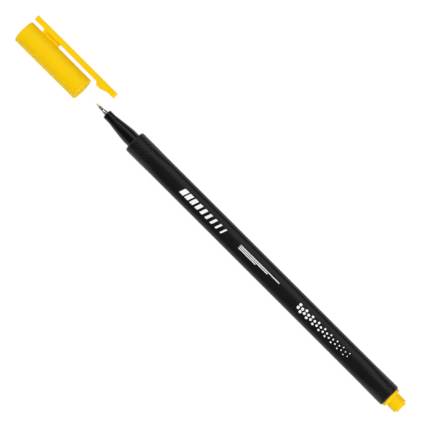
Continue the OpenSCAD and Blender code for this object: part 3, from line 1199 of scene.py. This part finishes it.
@dataclass
class Cap:
    """Yellow cap: tube with inner ribs, bridge, inner seal and the long clip."""

    top_r: float = 4.475
    mouth_r: float = 4.39
    bead_h: float = 0.05
    bead_len: float = 0.95
    bead_slope: float = 0.1
    dimple_depth: float = 0.08
    dimple_r: float = 0.45
    dimple_edge_r: float = 0.6
    edge_r: float = 0.38
    bore_r: float = 3.65
    lead_in: float = 1.3
    lead_in_h: float = 0.48
    lip_share: float = 0.32
    end_t: float = 1.2
    rib_count: int = 6
    rib_r: float = 2.93
    rib_half_angle: float = 6.0
    rib_len: float = 8.0
    rib_inset: float = 1.5
    rib_slope: float = 0.35
    rib_level: float = 0.6
    rib_step: float = 0.02
    rib_turn: float = 30.0
    rib_ramp: float = 1.5
    clip_gap: float = 1.18
    clip_len: float = 39.5
    clip_half: float = 1.6
    clip_t: float = 2.06
    tip_t: float = 2.22
    bar_edge_r: float = 0.22
    inner_edge: float = 0.6
    bar_end_r: float = 0.3
    bridge_at: float = 5.05
    bridge_edge_r: float = 0.18
    bridge_sink: float = 0.12
    bridge_root: float = 0.25
    bridge_foot: float = 0.22
    bridge_rise: float = 0.06
    bridge_tenon: float = 0.2
    web_half: float = 0.85
    rib_half: float = 1.45
    bridge_rib_len: float = 1.2
    nub_r: float = 4.54
    nub_at: float = 6.1
    nub_flat: float = 1.2
    nub_steep: float = 1.2
    nub_gentle: float = 3.1
    nub_ease: float = 0.35
    bend_len: float = 5.0
    bend_margin: float = 0.5
    seal_r: float = 2.5
    seal_bore_r: float = 1.78
    seal_flange_r: float = 3.63
    seal_flange_t: float = 1.2
    seal_chamfer: float = 0.15
    seal_foot_r: float = 0.3
    seal_edge_r: float = 0.2
    seal_room: float = 1.9
    seal_lead: tuple[float, float] = (0.4, 0.25)
    around: int = 240

    def __post_init__(self) -> None:
        """Takes the stations from the frame."""
        self.top_x, self.mouth_x = reach("cap_shell")
        self.arm_x = reach("clip_arm")[0]
        self.clip_in_r = self.top_r + self.clip_gap
        self.clip_out_r = self.clip_in_r + self.clip_t
        self.tip_in_r = self.clip_out_r - self.tip_t

    def tube_outline(self) -> Outline:
        """Outline of the tube, from the middle of its closed end to the floor inside.

        Returns:
            Points as (station, radius), closed at both ends.
        """
        floor_x = self.top_x + self.end_t
        bead_r = self.mouth_r + self.bead_h
        bead_x = self.mouth_x - self.bead_len
        rib_end = self.mouth_x - self.rib_inset
        rib_start = rib_end - self.rib_len
        lip_r = (bead_r - self.bore_r) * self.lip_share
        shares = steps(0.0, 1.0, 6)[1:]
        places = steps(self.top_x + self.edge_r, bead_x - self.bead_slope, 6)[1:]
        return [
            (self.top_x + self.dimple_depth, 0.0),
            (self.top_x + self.dimple_depth, self.dimple_r),
            (self.top_x, self.dimple_edge_r),
            *arc(self.top_x + self.edge_r, self.top_r - self.edge_r, self.edge_r, 180.0, 90.0),
            *[(x, self.top_r + (self.mouth_r - self.top_r) * k) for k, x in zip(shares, places)],
            (bead_x, bead_r),
            *arc(self.mouth_x - lip_r, bead_r - lip_r, lip_r, 90.0, 0.0),
            (self.mouth_x, self.bore_r + self.lead_in_h),
            (self.mouth_x - self.lead_in, self.bore_r),
            (rib_end + self.rib_step, self.bore_r),
            (rib_end - self.rib_slope, self.bore_r),
            *[(x, self.bore_r) for x in steps(rib_end - self.rib_level, rib_start + self.rib_step, 6)],
            (rib_start, self.bore_r),
            (floor_x, self.bore_r),
            (floor_x, 0.0),
        ]

    def ribbed(self, station: float, radius: float, angle: float) -> float:
        """Radius of the bore with its guide ribs.

        Args:
            station: Place along the axis.
            radius: Radius of the tube's outline there.
            angle: Direction round the axis.

        Returns:
            The outline's radius, or the rib's where a rib stands.
        """
        rib_end = self.mouth_x - self.rib_inset
        inside = rib_end - self.rib_len < station - NEAR and station <= rib_end
        between = WHOLE_TURN / self.rib_count
        from_rib = abs((angle - self.rib_turn + between / 2.0) % between - between / 2.0)
        if abs(radius - self.bore_r) > NEAR or not inside or from_rib >= self.rib_half_angle:
            return radius
        rise = min(1.0, (self.rib_half_angle - from_rib) / self.rib_ramp)
        return self.bore_r + (self.rib_r - self.bore_r) * rise

    def bridge_plan(self, flare: float) -> Outline:
        """Plan of the bridge, a web with a wider rib at its rear.

        Args:
            flare: Distance that the plan grows to every side.

        Returns:
            Points as (station, side) round the bridge.
        """
        start, end = self.top_x + self.bridge_at, self.arm_x
        step_x = start + self.bridge_rib_len
        web, rib = self.web_half + flare, self.rib_half + flare
        soft = self.bridge_edge_r
        half = [
            *arc(start - flare + soft, rib - soft, soft, 180.0, 90.0, 3),
            *arc(step_x + flare - soft, rib - soft, soft, 90.0, 0.0, 3),
            *arc(step_x + flare + soft, web + soft, soft, 180.0, 270.0, 3),
            *arc(end + flare - soft, web - soft, soft, 90.0, 0.0, 3),
        ]
        return half + [(x, -side) for x, side in reversed(half)]

    def bridge_rings(self) -> list[Ring]:
        """Rings of the bridge from inside the tube's wall to inside the bar.

        Returns:
            Rings that flare where the bridge runs into both.
        """
        low, high, foot = self.top_r - self.bridge_sink, self.clip_in_r, self.bridge_foot
        rise = self.bridge_rise
        layers = [(low - self.bridge_root, foot), (low, foot)]
        layers += [(low + x + rise, f) for x, f in rounding(foot, (20.0, 45.0, 70.0, 90.0))]
        layers += [(high - x, f) for x, f in rounding(foot, (90.0, 70.0, 45.0, 20.0, 0.0))]
        layers.append((high + self.bridge_tenon, foot))
        rings = []
        for height, flare in layers:
            rings.append([clip_point(x, height, side) for x, side in self.bridge_plan(flare)])
        return rings

    def inner_face(self, station: float) -> float:
        """Height of the bar's inner face, its nub included.

        Args:
            station: Place along the axis.

        Returns:
            Distance from the axis.
        """
        tip_x = self.top_x + self.clip_len
        share = max(0.0, (station - self.arm_x) / (tip_x - self.arm_x))
        face = self.clip_in_r + (self.tip_in_r - self.clip_in_r) * share
        flat_end = tip_x - self.nub_at
        flat_start = flat_end - self.nub_flat
        if station < flat_start:
            rise = 1.0 - (flat_start - station) / self.nub_steep
        else:
            rise = 1.0 - (station - flat_end) / self.nub_gentle
        rise = min(max(rise, 0.0), 1.0)
        rise += (smooth(rise) - rise) * self.nub_ease
        return face + (self.nub_r - face) * rise

    def bar_ring(self, station: float, inset: float) -> Ring:
        """Cross section of the clip's bar.

        Args:
            station: Place along the axis.
            inset: Distance that the end rounding draws the section in.

        Returns:
            Ring with rounded edges, smaller on the inner side.
        """
        half = self.clip_half - inset
        low, high = self.inner_face(station) + inset, self.clip_out_r - inset
        outer_r, inner_r = self.bar_edge_r, self.bar_edge_r * self.inner_edge
        corners = (
            (high - outer_r, half - outer_r, outer_r),
            (high - outer_r, -half + outer_r, outer_r),
            (low + inner_r, -half + inner_r, inner_r),
            (low + inner_r, half - inner_r, inner_r),
        )
        section = []
        turn = 0.0
        for height, side, size in corners:
            section += arc(height, side, size, turn + QUARTER_TURN, turn, 4)
            turn -= QUARTER_TURN
        return [clip_point(station, height, side) for height, side in section]

    def bar_rings(self) -> list[Ring]:
        """Rings of the clip's bar from its tail to its tip.

        Returns:
            Rings, close together at the ends, the bend and the nub.
        """
        tip_x = self.top_x + self.clip_len
        nub_start = tip_x - self.nub_at - self.nub_flat - self.nub_steep
        nub_end = tip_x - self.nub_at + self.nub_gentle
        ends = rounding(self.bar_end_r, steps(0.0, QUARTER_TURN, 5))
        spans = (
            (self.arm_x - self.bend_margin, 8),
            (self.arm_x + self.bend_len + self.bend_margin, 12),
            (nub_start, 6),
            (nub_end, 40),
            (tip_x - self.bar_end_r, 4),
        )
        plain = chain(self.top_x + self.bar_end_r, spans)[:-1]
        rings = [self.bar_ring(self.top_x + x, inset) for x, inset in ends]
        rings += [self.bar_ring(x, 0.0) for x in plain]
        return rings + [self.bar_ring(tip_x - x, inset) for x, inset in reversed(ends)]

    def seal_outline(self) -> Outline:
        """Outline of the inner seal.

        Returns:
            Points as (station, radius), closed at both ends.
        """
        front, mouth = reach("cap_inner_seal")
        closed_shift = reach("barrel")[0] - self.mouth_x
        floor_x = reach("nib_fibre")[0] - closed_shift - self.seal_room
        chamfer, foot, edge = self.seal_chamfer, self.seal_foot_r, self.seal_edge_r
        lead_len, lead_h = self.seal_lead
        flange_x = front + self.seal_flange_t
        return [
            (front, 0.0),
            (front, self.seal_flange_r - chamfer),
            (front + chamfer, self.seal_flange_r),
            (flange_x, self.seal_flange_r),
            *arc(flange_x + foot, self.seal_r + foot, foot, 180.0, 270.0, 4),
            *arc(mouth - edge, self.seal_r - edge, edge, 90.0, 0.0, 4),
            (mouth, self.seal_bore_r + lead_h),
            (mouth - lead_len, self.seal_bore_r),
            (floor_x, self.seal_bore_r),
            (floor_x, 0.0),
        ]

    def build_tube(self) -> None:
        """Makes the tube and the bridge."""
        draft = Draft()
        draft.loft(turned(self.tube_outline(), self.around, self.ribbed))
        draft.loft(self.bridge_rings(), ends=True)
        made = draft.piece("cap_moulding", SUN_YELLOW, Slot.CAP)
        self.paint_light_in_bore(made.data)
        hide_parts("cap_shell")
        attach(made, Body.CAP.value)

    def paint_light_in_bore(self, mesh: bpy.types.Mesh) -> None:
        """Gives the faces inside the tube a paler yellow: painted light, standing in for the light
        that comes through its wall.

        Args:
            mesh: The cap's fixed part.
        """
        mesh.materials.append(BORE_PAINTED_LIGHT.material())
        widest = (self.bore_r + self.lead_in_h) * MM
        deepest = (self.top_x + self.end_t / 2.0) * MM
        for face in mesh.polygons:
            center = face.center
            if center.x > deepest and math.hypot(center.y, center.z) < widest:
                # These faces get the paler yellow, painted light inside the bore.
                face.material_index = 1

    def build_seal(self) -> None:
        """Makes the inner seal."""
        draft = Draft()
        draft.loft(turned(self.seal_outline(), self.around // 2))
        made = draft.piece("inner_seal", SEAL_YELLOW, Slot.SEAL)
        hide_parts("cap_inner_seal")
        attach(made, Body.CAP.value)

    def build_clip(self) -> None:
        """Makes the clip, one bar from its tail to its tip."""
        draft = Draft()
        draft.loft(self.bar_rings(), ends=True)
        made = draft.piece("clip_bar", SUN_YELLOW, Slot.CAP)
        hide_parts("clip_arm")
        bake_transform(made)

    def build(self) -> None:
        """Makes all pieces of the cap: tube with bridge, seal and clip."""
        self.build_tube()
        self.build_seal()
        self.build_clip()


# Inside


@dataclass(frozen=True)
class InkStore:
    """Wick, reservoir and film inside the barrel: the CAD's own shapes, dressed."""

    finishes: tuple[tuple[str, Finish], ...] = (
        ("feed_wick", YELLOW_FELT),
        ("ink_reservoir", PALE_FELT),
        ("reservoir_film", WRAP_FILM),
    )

    def dress(self) -> None:
        """Gives each CAD node its finish."""
        for node, finish in self.finishes:
            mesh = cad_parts[node].data
            mesh.materials.clear()
            mesh.materials.append(finish.material())
            LOG.info("%s: the CAD's own mesh, %s", node, finish.name)


# Studio


@dataclass(frozen=True)
class SoftBox:
    """A large soft lamp that points at the pen."""

    name: str
    across: float
    along: float
    toward: Vector
    radiance: float
    distance: float = 1.3
    side_limit: float = 0.3

    def build(self, target: Vector) -> None:
        """Hangs the lamp.

        Args:
            target: Point that it faces.
        """
        data = bpy.data.lights.new(self.name, "AREA")
        data.shape = "RECTANGLE"
        data.size, data.size_y = self.along, self.across
        data.energy = self.radiance * math.pi * self.along * self.across
        lamp = add_object(self.name, data)
        back = self.toward.normalized()
        crosswise = abs(back.x) < self.side_limit
        side = Vector((1.0, 0.0, 0.0)) if crosswise else Vector((0.0, 1.0, 0.0))
        up = back.cross(side).normalized()
        side = up.cross(back)
        turn = Matrix((side, up, back)).transposed()
        lamp.matrix_world = Matrix.Translation(target + back * self.distance) @ turn.to_4x4()
        lamp.visible_camera = False


@dataclass
class Studio:
    """White table, soft lamps and the photograph's camera."""

    frame_px: float = 446.0
    focal_px: float = 2881.0
    sensor_mm: float = 36.0
    distance: float = 1005.0
    aim_x: float = 61.31
    foot_x: float = 145.31
    side_shift: float = 1.7
    floor_size: float = 12.0
    wall_h: float = 0.9
    floor_color: Color = (0.9, 0.9, 0.9)
    glow_share: float = 0.9
    glow: float = 1.05
    sky: float = 0.1
    roll: float = 44.93
    key_angle: float = 40.0
    floor_rough: float = 0.85
    floor_spread: float = 0.1
    floor_gloss: float = 0.1

    def __post_init__(self) -> None:
        """Works out the directions of the view."""
        self.along = Vector((1.0, 0.0, 0.0))
        self.clipward = clip_point(0.0, 1.0, 0.0).normalized()
        self.viewward = self.along.cross(self.clipward)

    def build_camera(self) -> None:
        """Places the camera, rolled so that the pen lies on the picture's diagonal."""
        shift = self.clipward * self.side_shift
        aim = (self.along * self.aim_x + shift) * MM
        eye = (self.along * self.foot_x + shift + self.viewward * self.distance) * MM
        back = (eye - aim).normalized()
        level = self.clipward.cross(back)
        turn = math.radians(self.roll)
        right = (level * math.cos(turn) + self.clipward * math.sin(turn)).normalized()
        up = back.cross(right)
        data = bpy.data.cameras.new("camera")
        data.sensor_width = self.sensor_mm
        data.lens = self.focal_px / self.frame_px * self.sensor_mm
        camera = add_object("camera", data)
        facing = Matrix((right, up, back)).transposed()
        camera.matrix_world = Matrix.Translation(eye) @ facing.to_4x4()
        bpy.context.scene.camera = camera

    def floor_material(self) -> bpy.types.Material:
        """Matt white that looks white to camera, gloss and glass and keeps the shadow.

        Returns:
            The material.
        """
        made, bench = blank_material("white_table")
        fibres = bench.noise(bench.place(), scale=0.4, detail=2.0)
        rough = bench.math("MULTIPLY_ADD", fibres, self.floor_spread, self.floor_rough)
        look = {"Base Color": (*self.floor_color, 1.0), "Roughness": rough}
        look["Specular IOR Level"] = self.floor_gloss
        paper = bench.add("ShaderNodeBsdfPrincipled", look)
        white = {"Color": (1.0, 1.0, 1.0, 1.0), "Strength": self.glow}
        glow = bench.add("ShaderNodeEmission", white)
        rays = bench.add("ShaderNodeLightPath").outputs
        seen = bench.math("ADD", rays["Is Camera Ray"], rays["Is Glossy Ray"], clamp=True)
        seen = bench.math("ADD", seen, rays["Is Transmission Ray"], clamp=True)
        share = bench.math("MULTIPLY", seen, self.glow_share)
        mixed = bench.add("ShaderNodeMixShader", {0: share, 1: paper.outputs[0], 2: glow.outputs[0]})
        bench.add("ShaderNodeOutputMaterial", {"Surface": mixed.outputs[0]})
        return made

    def build_floor(self) -> None:
        """Lays the table just under the pen, with a low wall far off all round."""
        half = self.floor_size / 2.0
        level = CAD_BOX[0].z
        places = ((-half, -half), (half, -half), (half, half), (-half, half))
        corners = [Vector((x, y, level)) for x, y in places]
        draft = bmesh.new()
        low = [draft.verts.new(c) for c in corners]
        high = [draft.verts.new(c + Vector((0.0, 0.0, self.wall_h))) for c in corners]
        draft.faces.new(low)
        for i in range(len(corners)):
            draft.faces.new((low[i - 1], low[i], high[i], high[i - 1]))
        mesh = bpy.data.meshes.new("table")
        draft.to_mesh(mesh)
        draft.free()
        mesh.materials.append(self.floor_material())
        table = add_object("table", mesh)

    def build_lamps(self) -> None:
        """Hangs a key over the clip's side, two lamps at the front and two at the rear."""
        turn = math.radians(self.key_angle)
        key = self.viewward * math.cos(turn) + self.clipward * math.sin(turn)
        front_end, front_side = Vector((-0.547, -0.174, 0.819)), Vector((-0.92, -0.1, 0.38))
        rear_end, rear_low = Vector((0.75, -0.42, 0.52)), Vector((0.97, 0.0, 0.24))
        boxes = (
            SoftBox("key", across=0.95, along=2.6, toward=key, radiance=1.34),
            SoftBox("front_end", across=0.2, along=0.7, toward=front_end, radiance=6.0),
            SoftBox("front_side", across=1.4, along=1.0, toward=front_side, radiance=1.6),
            SoftBox("rear_end", across=0.9, along=1.9, toward=rear_end, radiance=2.35),
            SoftBox("rear_low", across=0.45, along=0.9, toward=rear_low, radiance=3.6),
        )
        target = Vector((self.aim_x * MM, 0.0, 0.0))
        for box in boxes:
            box.build(target)

    def build_sky(self) -> None:
        """Sets the dim even light all round."""
        world = bpy.data.worlds.new("room")
        world.use_nodes = True
        back = world.node_tree.nodes["Background"]
        back.inputs["Color"].default_value = (1.0, 1.0, 1.0, 1.0)
        back.inputs["Strength"].default_value = self.sky
        bpy.context.scene.world = world

    def build(self) -> None:
        """Sets up camera, table, lamps and room."""
        bpy.context.scene.view_settings.view_transform = "Standard"
        self.build_camera()
        self.build_floor()
        self.build_lamps()
        self.build_sky()
        LOG.info("studio: camera, table and lamps")


def main() -> None:
    """Builds the studio and the pen's pieces in order."""
    logging.basicConfig(level=logging.INFO, format="%(message)s")
    Studio().build()
    barrel = Barrel()
    barrel.build()
    BarrelPrint(barrel).build()
    WritingEnd().build()
    RearPlug().build()
    Cap().build()
    InkStore().dress()


if __name__ == "__main__":
    main()
